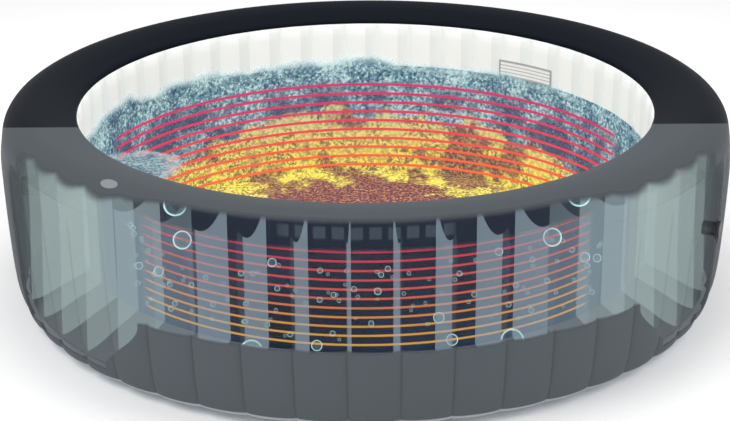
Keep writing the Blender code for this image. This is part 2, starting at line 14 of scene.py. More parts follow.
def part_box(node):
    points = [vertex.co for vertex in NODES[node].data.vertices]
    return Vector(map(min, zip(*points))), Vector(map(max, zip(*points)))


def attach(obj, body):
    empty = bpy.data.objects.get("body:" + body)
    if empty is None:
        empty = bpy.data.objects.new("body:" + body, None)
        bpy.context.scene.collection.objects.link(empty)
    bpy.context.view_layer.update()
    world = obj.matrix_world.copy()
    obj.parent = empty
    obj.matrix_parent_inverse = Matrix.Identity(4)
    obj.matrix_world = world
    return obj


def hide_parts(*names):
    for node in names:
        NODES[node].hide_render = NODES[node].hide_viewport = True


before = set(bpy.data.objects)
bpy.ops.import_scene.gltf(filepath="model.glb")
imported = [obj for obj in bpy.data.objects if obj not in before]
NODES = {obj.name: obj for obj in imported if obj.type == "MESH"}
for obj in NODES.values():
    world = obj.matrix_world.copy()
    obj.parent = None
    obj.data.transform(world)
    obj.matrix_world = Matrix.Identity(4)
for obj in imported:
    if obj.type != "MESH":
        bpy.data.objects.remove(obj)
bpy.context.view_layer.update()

# ---------------------------------------------------------------- sizes, as in the CAD model

CROWN_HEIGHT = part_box("top_ring_rear")[1].z
SEAM_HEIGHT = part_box("outer_wall_rear")[1].z
INNER_SEAM_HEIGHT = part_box("inner_wall_rear")[1].z
FLOOR_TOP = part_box("floor_liner")[1].z
BASE_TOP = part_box("base_sheet")[1].z
BASE_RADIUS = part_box("base_sheet")[1].x
OUTER_RADIUS = 1.020
INNER_RADIUS = 0.806
BAFFLES = 48
PITCH = 2 * math.pi / BAFFLES
FIRST_BAFFLE = math.radians(-2.75)
SKIN = 0.003
LINER = 0.002
OUTER_LOBE = 0.012
INNER_LOBE = 0.008
CUSP_FOOT = 0.010
SEE_THROUGH = math.radians(77.6)
WEB_THICKNESS = 0.0015
BAFFLE_FOOT = 0.062
FRONT_BAFFLES = range(-9, 11)
RIGHT_REAR_BAFFLES = range(11, 25)
LEFT_REAR_BAFFLES = range(25, 39)
HEAT_RADIUS = 0.7932
HEAT_RUNS = 11
TRACK_HEIGHT = 0.006
TRACK_THICKNESS = 0.0016
FRONT_TRACK_HALF = math.radians(47.4)
REAR_TRACK_HALF = math.radians(70.6)
FRONT_TRACK_FADE = (math.radians(44.5), math.radians(47.6))
REAR_TRACK_FADE = (math.radians(112), math.radians(109.4))
SHARP_ANGLE = math.radians(40.0)

# Staged water: its level, and the radius and half angle of each of its surfaces
WATER_LEVEL = 0.392
SURFACE_RADIUS = 0.788
FRONT_WATER_RADIUS = 0.786
BODY_WATER_RADIUS = 0.7965
SPRAY_RADIUS = 0.7915
SPRAY_TOP = 0.500
FRONT_WATER_HALF = math.radians(66)
SPRAY_START = math.radians(76)
FOAM_PATCH = (-0.640, -0.150, WATER_LEVEL)
FOAM_REACH = 0.15

# Cutaway: what is below the plane z + CUT_SLOPE * y = CUT_LEVEL is drawn see-through
CUT_SLOPE = 0.344
CUT_LEVEL = 0.459
CUT_SOFTNESS = 0.0006

# Solid parts of the see-through wall: the foot of the middle bays, the hem under the baffles and the weld
WINDOW_SILL = 0.226
FOOT_END_AT_HEM = math.radians(42.0)
FOOT_END_AT_SILL = math.radians(34.0)
RIGHT_FOOT_LONGER = math.radians(9)
FOOT_HEM = 0.058
WELD_TOP = 0.036
# Radius where the milky part of a baffle ends, at its foot and at the top
WEB_EDGE_FOOT = 0.976
WEB_EDGE_TOP = 0.964
# Angles over which the rim's edge changes from level to scalloped
SIDE_BAYS = (math.radians(28), math.radians(42))

SMOKE_GREY = (0.108, 0.123, 0.137)
BLACK = (0.0040, 0.0060, 0.0100)
NO_GLOW = (0.0, 0.0, 0.0)
PALE_WELD = (0.27, 0.30, 0.32)
PALE_WELD_GLOW = (0.10, 0.11, 0.12)
WHITE_LINER = (0.80, 0.82, 0.80)
LABEL_WHITE = (0.80, 0.81, 0.80)
LABEL_INK = (0.16, 0.17, 0.18)

# Scales of the noises that the water, its surface and its spray share
FROTH = {"scale": 95.0, "detail": 6.0, "roughness": 0.72}
CLUMP = {"scale": 13.0, "detail": 4.0, "roughness": 0.6}

# (radius on the lobe's crest, height, depth of the trough on a baffle)
OUTER_PROFILE = [
    (BASE_RADIUS - 0.010, BASE_TOP + 0.001, 0.0),
    (0.965, 0.019, 0.8 * CUSP_FOOT),
    (0.992, 0.058, CUSP_FOOT),
    (1.008, 0.160, OUTER_LOBE),
    (OUTER_RADIUS, 0.400, 0.8 * OUTER_LOBE),
    (1.013, SEAM_HEIGHT, 0.0),
]
TOP_PROFILE = [
    (1.013, SEAM_HEIGHT, 0.0),
    (1.005, 0.522, 0.0),
    (0.982, 0.550, 0.0),
    (0.940, CROWN_HEIGHT, 0.0),
    (0.880, 0.563, 0.0),
    (0.828, 0.547, 0.0),
    (0.810, 0.538, 0.0),
    (INNER_RADIUS, INNER_SEAM_HEIGHT, 0.0),
]
INNER_PROFILE = [
    (INNER_RADIUS, INNER_SEAM_HEIGHT, 0.0),
    (INNER_RADIUS, 0.505, 0.8 * INNER_LOBE),
    (INNER_RADIUS, 0.440, INNER_LOBE),
    (INNER_RADIUS, 0.060, INNER_LOBE),
    (INNER_RADIUS, FLOOR_TOP, 0.0),
]


# ---------------------------------------------------------------- mesh helpers


def on_circle(radius, angle, height):
    return Vector((radius * math.sin(angle), -radius * math.cos(angle), height))


def baffle_angle(index):
    return FIRST_BAFFLE + index * PITCH


def lobe(angle):
    """0 on a baffle, 1 half way to the next: the swell of the skin between two baffles."""
    share = ((angle - FIRST_BAFFLE) / PITCH) % 1.0
    return math.sqrt(max(0.0, 1.0 - (2.0 * share - 1.0) ** 2))


def smooth_profile(points, steps):
    """A Catmull-Rom curve through (radius, height, depth) points."""
    made = []
    padded = [points[0], *points, points[-1]]
    for a, b, c, d in zip(padded, padded[1:], padded[2:], padded[3:]):
        for i in range(steps):
            t = i / steps
            made.append(tuple(catmull_rom(p, q, r, s, t) for p, q, r, s in zip(a, b, c, d)))
    made.append(points[-1])
    return made


def catmull_rom(p, q, r, s, t):
    square = 2 * p - 5 * q + 4 * r - s
    cube = 3 * q - p - 3 * r + s
    return 0.5 * (2 * q + (r - p) * t + square * t * t + cube * t ** 3)


def add_piece(name, bm, material, body="tub"):
    bmesh.ops.recalc_face_normals(bm, faces=bm.faces)
    mesh = bpy.data.meshes.new(name)
    bm.to_mesh(mesh)
    bm.free()
    mesh.materials.append(material)
    mesh.shade_smooth()
    mesh.set_sharp_from_angle(angle=SHARP_ANGLE)
    made = bpy.data.objects.new(name, mesh)
    bpy.context.scene.collection.objects.link(made)
    if body:
        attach(made, body)
    return made


def sweep(bm, section, angles):
    """Sweeps a closed section of (radius, height) points round the tub's axis, with its ends capped."""
    rings = [[bm.verts.new(on_circle(r, a, z)) for r, z in section(a)] for a in angles]
    for here, there in zip(rings, rings[1:]):
        for i in range(len(here)):
            j = (i + 1) % len(here)
            bm.faces.new((here[i], here[j], there[j], there[i]))
    for ring in (rings[0], rings[-1]):
        half = len(ring) // 2
        for i in range(half - 1):
            bm.faces.new((ring[i], ring[i + 1], ring[-i - 2], ring[-i - 1]))


def sheet_section(profile, thickness, angle, inward_lobes):
    swell = lobe(angle)
    face = []
    for radius, height, depth in profile:
        shift = -depth * swell if inward_lobes else -depth * (1.0 - swell)
        face.append(Vector((radius + shift, height)))
    back = []
    for i, point in enumerate(face):
        along = face[min(i + 1, len(face) - 1)] - face[max(i - 1, 0)]
        back.append(point + Vector((-along.y, along.x)).normalized() * thickness)
    return [tuple(p) for p in face + back[::-1]]


def add_sheet(name, profile, thickness, angles, material, inward_lobes=False, back=None):
    """A skin swept round the tub. Its hidden side takes the material back, where that is given."""
    bm = bmesh.new()
    fine = smooth_profile(profile, 6)
    sweep(bm, lambda a: sheet_section(fine, thickness, a, inward_lobes), angles)
    if back:
        around = 2 * len(fine)
        for i, face in enumerate(list(bm.faces)[:around * (len(angles) - 1)]):
            face.material_index = int(i % around >= len(fine))
    made = add_piece(name, bm, material)
    if back:
        made.data.materials.append(back)
    return made


def lobe_angles(first, last, steps):
    """Angles between two baffles, closer together near each crease."""
    made = []
    for index in range(first, last):
        for i in range(steps):
            share = 0.5 - 0.5 * math.cos(math.pi * i / steps)
            made.append(baffle_angle(index + share))
    made.append(baffle_angle(last))
    return made


def even_angles(start, stop, steps):
    return [start + (stop - start) * i / steps for i in range(steps + 1)]


def profile_radius(profile, height):
    """Trough radius of a rising profile at a height."""
    for (r0, z0, d0), (r1, z1, d1) in zip(profile, profile[1:]):
        if height <= z1:
            t = (height - z0) / (z1 - z0)
            return (r0 - d0) + ((r1 - d1) - (r0 - d0)) * t
    return profile[-1][0]


# ---------------------------------------------------------------- material helpers


def new_material(name):
    material = bpy.data.materials.new(name)
    material.use_nodes = True
    tree = material.node_tree
    return material, tree, tree.nodes["Principled BSDF"]


def node(tree, kind, inputs=None, **settings):
    made = tree.nodes.new(kind)
    for key, value in settings.items():
        setattr(made, key, value)
    for key, value in (inputs or {}).items():
        if isinstance(value, bpy.types.NodeSocket):
            tree.links.new(value, made.inputs[key])
        else:
            made.inputs[key].default_value = value
    return made


def noise_of(tree, vector, scale, detail=4.0, roughness=0.5):
    made = node(tree, "ShaderNodeTexNoise", {"Vector": vector, "Scale": scale, "Detail": detail,
                                             "Roughness": roughness})
    return made.outputs["Fac"]


def position(tree):
    return node(tree, "ShaderNodeTexCoord").outputs["Object"]


def split(tree, vector):
    return node(tree, "ShaderNodeSeparateXYZ", {"Vector": vector}).outputs


def maths(tree, operation, a, b=0.0):
    return node(tree, "ShaderNodeMath", {0: a, 1: b}, operation=operation).outputs[0]


def product(tree, first, *others):
    made = first
    for other in others:
        made = maths(tree, "MULTIPLY", made, other)
    return made


def total(tree, first, *others):
    made = first
    for other in others:
        made = maths(tree, "ADD", made, other)
    return made


def less(tree, a, b):
    return maths(tree, "SUBTRACT", a, b)


def highest(tree, first, *others):
    made = first
    for other in others:
        made = maths(tree, "MAXIMUM", made, other)
    return made


def span(tree, value, low, high, out_low=0.0, out_high=1.0):
    """Maps value from low..high to out_low..out_high with soft ends."""
    made = node(tree, "ShaderNodeMapRange", {"Value": value, "From Min": low, "From Max": high,
                                             "To Min": out_low, "To Max": out_high})
    made.interpolation_type = "SMOOTHSTEP"
    return made.outputs["Result"]


def mix_colour(tree, factor, a, b):
    made = node(tree, "ShaderNodeMix", data_type="RGBA")
    for key, value in ((0, factor), (6, a), (7, b)):
        if isinstance(value, bpy.types.NodeSocket):
            tree.links.new(value, made.inputs[key])
        elif key == 0:
            made.inputs[key].default_value = value
        else:
            made.inputs[key].default_value = (*value, 1.0)
    return made.outputs[2]


def bump(tree, shader, height, strength, distance):
    made = node(tree, "ShaderNodeBump", {"Height": height, "Strength": strength, "Distance": distance})
    tree.links.new(made.outputs["Normal"], shader.inputs["Normal"])


def signed_angle(tree):
    """Angle round the tub in radians: 0 at the front, growing towards +X."""
    across, back = split(tree, position(tree))[:2]
    return maths(tree, "ARCTAN2", across, product(tree, back, -1.0))


def polar(tree):
    """(distance of the angle from the front, in radians; height) of a point on the tub."""
    return maths(tree, "ABSOLUTE", signed_angle(tree)), split(tree, position(tree))[2]


def scaled(tree, vector, factors):
    return node(tree, "ShaderNodeVectorMath", {0: vector, 1: factors}, operation="MULTIPLY").outputs[0]


def from_axis(tree):
    """Distance of a point from the tub's axis."""
    flat = scaled(tree, position(tree), (1.0, 1.0, 0.0))
    return node(tree, "ShaderNodeVectorMath", {0: flat}, operation="LENGTH").outputs["Value"]


def distance(tree, vector, point):
    return node(tree, "ShaderNodeVectorMath", {0: vector, 1: point}, operation="DISTANCE").outputs["Value"]


def dress(shader, roughness, specular=0.5, base=None, glow=0.0):
    """Sets the plain values of a shader; colours that vary are linked by the caller."""
    shader.inputs["Roughness"].default_value = roughness
    shader.inputs["Specular IOR Level"].default_value = specular
    shader.inputs["Emission Strength"].default_value = glow
    if base:
        shader.inputs["Base Color"].default_value = (*base, 1.0)


def vinyl(name, colour, roughness, grain=700.0, variation=0.15, alpha=1.0, specular=0.5):
    """Calendered PVC: a fine grain, slow patches of tone and gloss, and an optional clear share."""
    material, tree, shader = new_material(name)
    where = position(tree)
    slow = noise_of(tree, where, 3.0, 3.0)
    dark = tuple(c * (1 - variation) for c in colour)
    light = tuple(min(1.0, c * (1 + variation)) for c in colour)
    tree.links.new(mix_colour(tree, slow, dark, light), shader.inputs["Base Color"])
    tree.links.new(span(tree, noise_of(tree, where, 9.0), 0.3, 0.7, roughness * 0.85, roughness * 1.15),
                   shader.inputs["Roughness"])
    bump(tree, shader, noise_of(tree, where, grain, 2.0), 0.12, 0.0006)
    shader.inputs["Specular IOR Level"].default_value = specular
    shader.inputs["Alpha"].default_value = alpha
    return material


def plastic(name, colour, roughness):
    """Moulded plastic with a spark-eroded texture and slightly rubbed high spots."""
    material, tree, shader = new_material(name)
    where = position(tree)
    wear = span(tree, noise_of(tree, where, 60.0, 6.0), 0.45, 0.75)
    worn = tuple(min(1.0, c * 1.5 + 0.01) for c in colour)
    tree.links.new(mix_colour(tree, wear, colour, worn), shader.inputs["Base Color"])
    tree.links.new(span(tree, noise_of(tree, where, 25.0), 0.3, 0.7, roughness * 0.8, roughness * 1.2),
                   shader.inputs["Roughness"])
    bump(tree, shader, noise_of(tree, where, 2500.0, 1.0), 0.2, 0.0002)
    return material


def lit_vinyl(name, colour, glow):
    """Vinyl with painted light: a share of its tone glows as its own light, for pieces inside the
    see-through wall.
    """
    material = vinyl(name, colour, 0.5, variation=0.04, specular=0.15)
    shader = material.node_tree.nodes["Principled BSDF"]
    shader.inputs["Emission Color"].default_value = (*colour, 1.0)
    shader.inputs["Emission Strength"].default_value = glow
    return material


def recolour(material, colour):
    """Gives a lit vinyl a tone that varies, both as its colour and as its own light."""
    for name in ("Base Color", "Emission Color"):
        material.node_tree.links.new(colour, material.node_tree.nodes["Principled BSDF"].inputs[name])


def assign(material, *names):
    for name in names:
        NODES[name].data.materials.clear()
        NODES[name].data.materials.append(material)


# ---------------------------------------------------------------- skins


def clear_of_cut(tree):
    """1 where the vinyl is drawn see-through: below a plane that slopes down towards the rear."""
    back, height = split(tree, position(tree))[1:]
    level = total(tree, product(tree, back, CUT_SLOPE), height)
    return node(tree, "ShaderNodeMapRange", {"Value": level, "From Min": CUT_LEVEL + CUT_SOFTNESS,
                                             "From Max": CUT_LEVEL - CUT_SOFTNESS}).outputs["Result"]


def edge_on(tree, low, high, out_low, out_high):
    """A value that rises where the skin is seen edge-on, as the tint of a clear sheet does."""
    facing = node(tree, "ShaderNodeLayerWeight", {"Blend": 0.5}).outputs["Facing"]
    return span(tree, facing, low, high, out_low, out_high)


def smoke(name, build_alpha, glow, lit):
    """Smoke-grey see-through vinyl, solid black above the cutaway plane and pale at the weld; below the
    plane and at the weld a share of its tone glows, painted light.
    """
    material, tree, shader = new_material(name)
    clear = clear_of_cut(tree)
    alpha = highest(tree, less(tree, 1.0, clear), build_alpha(tree))
    height = polar(tree)[1]
    weld = span(tree, height, WELD_TOP, WELD_TOP - 0.004)
    tree.links.new(highest(tree, alpha, weld), shader.inputs["Alpha"])
    lit_colour = mix_colour(tree, clear, BLACK, tuple(c * lit for c in SMOKE_GREY))
    glow_colour = mix_colour(tree, clear, NO_GLOW, tuple(c * glow for c in SMOKE_GREY))
    tree.links.new(mix_colour(tree, weld, lit_colour, PALE_WELD), shader.inputs["Base Color"])
    tree.links.new(mix_colour(tree, weld, glow_colour, PALE_WELD_GLOW), shader.inputs["Emission Color"])
    dress(shader, 0.5, specular=0.03, glow=1.0)
    return material


def wall_alpha(tree):
    """Clear, but solid at the hem, on the flanks, edge-on and along the foot of the middle bays."""
    angle, height = polar(tree)
    across = split(tree, position(tree))[0]
    end = span(tree, height, FOOT_HEM, WINDOW_SILL, FOOT_END_AT_HEM, FOOT_END_AT_SILL)
    end = total(tree, end, span(tree, across, -0.01, 0.01, 0.0, RIGHT_FOOT_LONGER))
    middle = span(tree, less(tree, angle, end), 0.0, 0.004, 1.0, 0.0)
    below_sill = span(tree, height, WINDOW_SILL, WINDOW_SILL + 0.014, 1.0, 0.0)
    flank = span(tree, angle, math.radians(66), math.radians(71))
    hem = span(tree, height, FOOT_HEM, FOOT_HEM + 0.004, 1.0, 0.0)
    outline = edge_on(tree, 0.93, 0.995, 0.05, 0.90)
    return highest(tree, product(tree, middle, below_sill), flank, hem, outline)


def rim_alpha(tree):
    """Solid over the top and on the flanks, clear down the outer face; scalloped edge at the sides."""
    angle = polar(tree)[0]
    turn = maths(tree, "FRACT", maths(tree, "DIVIDE", angle, PITCH))
    bulge = maths(tree, "SINE", product(tree, turn, math.pi))
    scallop = product(tree, less(tree, bulge, 0.5), span(tree, angle, *SIDE_BAYS, 0.0, 0.010))
    start = total(tree, span(tree, angle, *SIDE_BAYS, 0.960, 0.981), scallop)
    flank = span(tree, angle, math.radians(62), math.radians(66), 1.0, 0.0)
    clear = product(tree, span(tree, less(tree, from_axis(tree), start), 0.0, 0.020), flank)
    tint = span(tree, angle, math.radians(40), math.radians(65), 0.04, 0.15)
    face = total(tree, product(tree, less(tree, 1.0, clear), 0.95), product(tree, clear, tint))
    return highest(tree, face, edge_on(tree, 0.80, 0.93, 0.0, 0.97))


def pleat_panes(tree):
    """Row of small lighter panes on the front liner, just under the rim."""
    angle, height = polar(tree)
    turn = maths(tree, "FRACT", maths(tree, "DIVIDE", angle, math.radians(3.3)))
    across = product(tree, span(tree, turn, 0.14, 0.20), span(tree, turn, 0.86, 0.80))
    band = product(tree, span(tree, height, 0.436, 0.444), span(tree, height, 0.476, 0.468))
    return product(tree, across, band, span(tree, angle, math.radians(18), math.radians(14), 0.0, 0.8))


def liner_window_material():
    """The front liner: a clear window over the water, with painted shade under the rim, grey towards the
    sides; its colours glow as painted light over a near-black base.
    """
    material, tree, shader = new_material("clear_front_liner")
    angle, height = polar(tree)
    side = span(tree, angle, math.radians(60.5), math.radians(63))
    top = span(tree, height, WATER_LEVEL + 0.008, WATER_LEVEL + 0.030)
    sill = span(tree, height, 0.115, 0.135, 1.0, 0.0)
    tree.links.new(span(tree, highest(tree, side, top, sill), 0.0, 1.0, 0.06, 1.0), shader.inputs["Alpha"])
    # Painted shade under the rim: darkest at the front, fading towards the sides and a little towards the
    # seam.
    painted_rim_shade_fade = span(tree, angle, math.radians(30), math.radians(60))
    colour = mix_colour(tree, painted_rim_shade_fade, (0.010, 0.017, 0.034), (0.075, 0.100, 0.125))
    high = span(tree, height, WATER_LEVEL + 0.090, INNER_SEAM_HEIGHT, 0.0, 0.30)
    colour = mix_colour(tree, high, colour, SMOKE_GREY)
    colour = mix_colour(tree, pleat_panes(tree), colour, (0.060, 0.080, 0.110))
    colour = mix_colour(tree, side, colour, (0.125, 0.150, 0.155))
    colour = mix_colour(tree, sill, colour, SMOKE_GREY)
    tree.links.new(colour, shader.inputs["Emission Color"])
    dress(shader, 0.6, specular=0.05, base=(0.01, 0.01, 0.01), glow=0.95)
    return material


def pleated_liner():
    """White liner vinyl with painted shade: a little darker towards one side of each pleat."""
    material = lit_vinyl("white_liner_vinyl", WHITE_LINER, 0.22)
    tree = material.node_tree
    turn = total(tree, maths(tree, "DIVIDE", signed_angle(tree), PITCH), BAFFLES)
    painted_pleat_shade = span(tree, maths(tree, "FRACT", turn), 0.35, 1.0)
    recolour(material, mix_colour(tree, painted_pleat_shade, (0.83, 0.85, 0.83), (0.74, 0.77, 0.75)))
    return material


def add_skin(name, profile, thickness, angles, material, inward_lobes=False, back=None):
    skin = add_sheet(name + "_skin", profile, thickness, angles, material, inward_lobes, back)
    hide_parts(name)


def make_skins():
    black = vinyl("black_vinyl", BLACK, 0.6, specular=0.01)
    # Every material below except the black vinyl glows with a share of its tone, in places or all over:
    # painted light.
    white = pleated_liner()
    wall = smoke("smoke_clear_wall", wall_alpha, 0.43, 0.42)
    rim = smoke("smoke_clear_rim", rim_alpha, 0.38, 0.36)
    inside = lit_vinyl("grey_vinyl_inside", (0.070, 0.082, 0.088), 0.8)
    ring_front = even_angles(-SEE_THROUGH, SEE_THROUGH, 180)
    ring_rear = even_angles(SEE_THROUGH, 2 * math.pi - SEE_THROUGH, 240)
    add_skin("outer_wall_front", OUTER_PROFILE, SKIN, lobe_angles(-12, 13, 12), wall)
    add_skin("outer_wall_rear", OUTER_PROFILE, SKIN, lobe_angles(13, 36, 12), black,
             back=inside)
    add_skin("top_ring_front", TOP_PROFILE, SKIN, ring_front, rim)
    add_skin("top_ring_rear", TOP_PROFILE, SKIN, ring_rear, rim)
    add_skin("inner_wall_front", INNER_PROFILE, LINER, lobe_angles(-10, 11, 10), liner_window_material(),
             inward_lobes=True)
    add_skin("inner_wall_rear", INNER_PROFILE, LINER, lobe_angles(11, 38, 10), white,
             inward_lobes=True)
    assign(lit_vinyl("grey_chamber_base", (0.070, 0.080, 0.088), 0.75), "chamber_base")
    assign(lit_vinyl("pale_base_vinyl", (0.26, 0.28, 0.30), 0.5), "base_sheet")
    assign(white, "floor_liner", "air_channel")


# ---------------------------------------------------------------- baffles


def baffle_outline():
    """(radius, height) points of a baffle: up the outer wall, along the scoop and down the liner."""
    heights = (BAFFLE_FOOT, 0.110, 0.160, 0.280, 0.400)
    outer = [(profile_radius(OUTER_PROFILE, z) - SKIN - 0.002, z) for z in heights]
    top = SEAM_HEIGHT - 0.001
    outer.append((profile_radius(OUTER_PROFILE, top) - SKIN - 0.004, top))
    outer_horn = Vector((outer[-1][0] - 0.013, 0.524))
    inner_horn = Vector((INNER_RADIUS + 0.009, 0.520))
    middle = (outer_horn + inner_horn) / 2 - Vector((0, 0.090))
    arc = []
    for i in range(25):
        t = i / 24
        arc.append(tuple((1 - t) ** 2 * outer_horn + 2 * t * (1 - t) * middle + t ** 2 * inner_horn))
    return outer + arc + [(INNER_RADIUS + 0.0034, 0.505), (INNER_RADIUS + 0.0034, 0.140)]


def add_plate(bm, outline, angle):
    side = Vector((math.cos(angle), math.sin(angle), 0.0)) * WEB_THICKNESS / 2
    middle = [on_circle(r, angle, z) for r, z in outline]
    near = [bm.verts.new(point - side) for point in middle]
    far = [bm.verts.new(point + side) for point in middle]
    bm.faces.new(near)
    bm.faces.new(far[::-1])
    for i in range(len(outline)):
        j = (i + 1) % len(outline)
        bm.faces.new((near[i], far[i], far[j], near[j]))


def web_material():
    """Thin milky web whose pale tone glows as painted light, with a clear margin at the outer wall and a
    slanted lower edge.
    """
    material, tree, shader = new_material("baffle_web_vinyl")
    angle, height = polar(tree)
    side = span(tree, angle, math.radians(25), math.radians(55))
    tone = mix_colour(tree, side, (0.33, 0.43, 0.50), (0.50, 0.63, 0.62))
    edge = span(tree, height, BAFFLE_FOOT, 0.400, WEB_EDGE_FOOT, WEB_EDGE_TOP)
    inset = less(tree, edge, from_axis(tree))
    slant = span(tree, inset, 0.0, 0.150, 0.075, 0.125)
    inside = product(tree, span(tree, inset, 0.0, 0.003, 0.12, 1.0),
                     span(tree, less(tree, height, slant), -0.003, 0.0))
    faint = product(tree, span(tree, angle, math.radians(29), math.radians(31)),
                    span(tree, angle, math.radians(38), math.radians(36)))
    behind = span(tree, angle, math.radians(71), math.radians(75), 1.0, 0.05)
    milk = product(tree, span(tree, side, 0.0, 1.0, 0.30, 0.175), inside,
                   span(tree, faint, 0.0, 1.0, 1.0, 0.4), behind)
    tree.links.new(milk, shader.inputs["Alpha"])
    tree.links.new(tone, shader.inputs["Emission Color"])
    dress(shader, 0.5, specular=0.05, base=(0.02, 0.02, 0.02), glow=0.95)
    return material


def make_baffles():
    web = web_material()
    outline = baffle_outline()
    for number, index in enumerate(FRONT_BAFFLES, start=1):
        bm = bmesh.new()
        add_plate(bm, outline, baffle_angle(index))
        piece = add_piece(f"baffle_{number:02d}_web", bm, web)
        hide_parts(f"baffle_{number:02d}")
    for side, indices in (("right", RIGHT_REAR_BAFFLES), ("left", LEFT_REAR_BAFFLES)):
        bm = bmesh.new()
        for index in indices:
            add_plate(bm, outline, baffle_angle(index))
        piece = add_piece(f"baffles_rear_{side}_webs", bm, web)
        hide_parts(f"baffles_rear_{side}")


# ---------------------------------------------------------------- heating


def track_material(name, colours, low, high, fade, strength):
    """Glowing track, graded by height through three colours and fading out at the ends of its arc."""
    top, middle, bottom = colours
    material, tree, shader = new_material(name)
    angle, height = polar(tree)
    ramp = node(tree, "ShaderNodeValToRGB", {"Fac": span(tree, height, low, high)})
    points = ramp.color_ramp.elements
    points[0].color = (*bottom, 1.0)
    points[1].color = (*top, 1.0)
    points.new(0.5).color = (*middle, 1.0)
    tree.links.new(ramp.outputs["Color"], shader.inputs["Emission Color"])
    tree.links.new(span(tree, angle, *fade, 1.0, 0.0), shader.inputs["Alpha"])
    dress(shader, 0.4, specular=0.0, base=(0.02, 0.01, 0.01), glow=strength)
    return material


def track_section(z, width):
    """Flat ellipse of (radius, height) points, its outer edge on the heating radius."""
    section = []
    for i in range(8):
        a = 2 * math.pi * i / 8
        section.append((HEAT_RADIUS - TRACK_THICKNESS / 2 * (1 - math.cos(a)), z + width / 2 * math.sin(a)))
    return section


def add_tracks(name, middle_angle, half_angle, low, high, width, material, replaced):
    """Level runs of flat track joined at alternate ends."""
    bm = bmesh.new()
    start, stop = middle_angle - half_angle, middle_angle + half_angle
    half_turn = width / HEAT_RADIUS / 2
    inner, outer = HEAT_RADIUS - TRACK_THICKNESS, HEAT_RADIUS
    rise = (high - low) / (HEAT_RUNS - 1)
    for row in range(HEAT_RUNS):
        z = low + (high - low) * row / (HEAT_RUNS - 1)
        sweep_tube(bm, track_section(z, width), even_angles(start, stop, 96))
        if row + 1 < HEAT_RUNS:
            end = stop if row % 2 else start
            block = [(inner, z), (outer, z), (outer, z + rise), (inner, z + rise)]
            sweep_tube(bm, block, [end - half_turn, end + half_turn])
    piece = add_piece(name, bm, material)
    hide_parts(replaced)


def sweep_tube(bm, section, angles):
    rings = [[bm.verts.new(on_circle(r, a, z)) for r, z in section] for a in angles]
    for here, there in zip(rings, rings[1:]):
        for i in range(len(here)):
            j = (i + 1) % len(here)
            bm.faces.new((here[i], here[j], there[j], there[i]))
    bm.faces.new(rings[0])
    bm.faces.new(rings[-1])


def make_heating():
    film = vinyl("heater_film_clear", (0.5, 0.45, 0.42), 0.3, alpha=0.03)
    assign(film, "heat_film_front", "heat_film_rear")
    low, high = (corner.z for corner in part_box("heat_film_front"))
    low, high = low + 0.012, high - 0.012
    colours = ((0.62, 0.045, 0.085), (0.66, 0.13, 0.065), (0.74, 0.38, 0.045))
    glow = track_material("track_front_glow", colours, low, high, FRONT_TRACK_FADE, 1.0)
    add_tracks("heat_track_front", 0.0, FRONT_TRACK_HALF, low, high, TRACK_HEIGHT, glow, "heat_wire_front")
    low, high = (corner.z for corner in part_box("heat_film_rear"))
    low, high = low + 0.004, high - 0.014
    colours = ((0.56, 0.006, 0.105), (0.78, 0.026, 0.040), (0.88, 0.110, 0.012))
    glow = track_material("track_rear_glow", colours, low, high, REAR_TRACK_FADE, 1.2)
    add_tracks("heat_track_rear", math.pi, REAR_TRACK_HALF, low, high, 1.4 * TRACK_HEIGHT, glow,
               "heat_wire_rear")


# ---------------------------------------------------------------- water, which is not part of the object


def staged(name, bm, material):
    """A piece of scenery that is not part of the tub."""
    piece = add_piece(name, bm, material, body=None)
    return piece


def wobble_of(tree, where):
    """Uneven offset, in blocks and in ragged noise, for the borders between the water's colours."""
    cell = node(tree, "ShaderNodeTexVoronoi", {"Vector": where, "Scale": 8.0}).outputs["Color"]
    block = less(tree, node(tree, "ShaderNodeSeparateColor", {"Color": cell}).outputs[0], 0.5)
    ragged = less(tree, noise_of(tree, where, 10.0, 8.0, 0.7), 0.5)
    return total(tree, product(tree, block, 0.060), product(tree, ragged, 0.22))


def murky_foam(tree, where, froth, clump):
    """Teal foam with patches of navy water, more of them lower down."""
    height = split(tree, where)[2]
    patches = span(tree, noise_of(tree, where, 7.0, 4.0), 0.46, 0.58)
    navy = product(tree, patches, span(tree, height, 0.37, 0.27), 0.88)
    return mix_colour(tree, navy, foam_colour(tree, where, froth, clump), (0.018, 0.028, 0.100))


def flecked_yellow(tree, where, froth, clump, crimson):
    """Bright yellow, paler higher up, with brown flecks and a few patches of crimson."""
    height = split(tree, where)[2]
    clean = mix_colour(tree, span(tree, height, 0.060, 0.300), (0.78, 0.72, 0.10), (0.52, 0.58, 0.32))
    dusty = span(tree, clump, 0.36, 0.60, 0.35, 0.95)
    fleck = product(tree, span(tree, froth, 0.54, 0.46), dusty)
    flecked = mix_colour(tree, fleck, clean, (0.16, 0.095, 0.035))
    patches = span(tree, noise_of(tree, where, 4.5, 5.0, 0.6), 0.53, 0.59)
    return mix_colour(tree, product(tree, patches, 0.85), flecked, crimson)


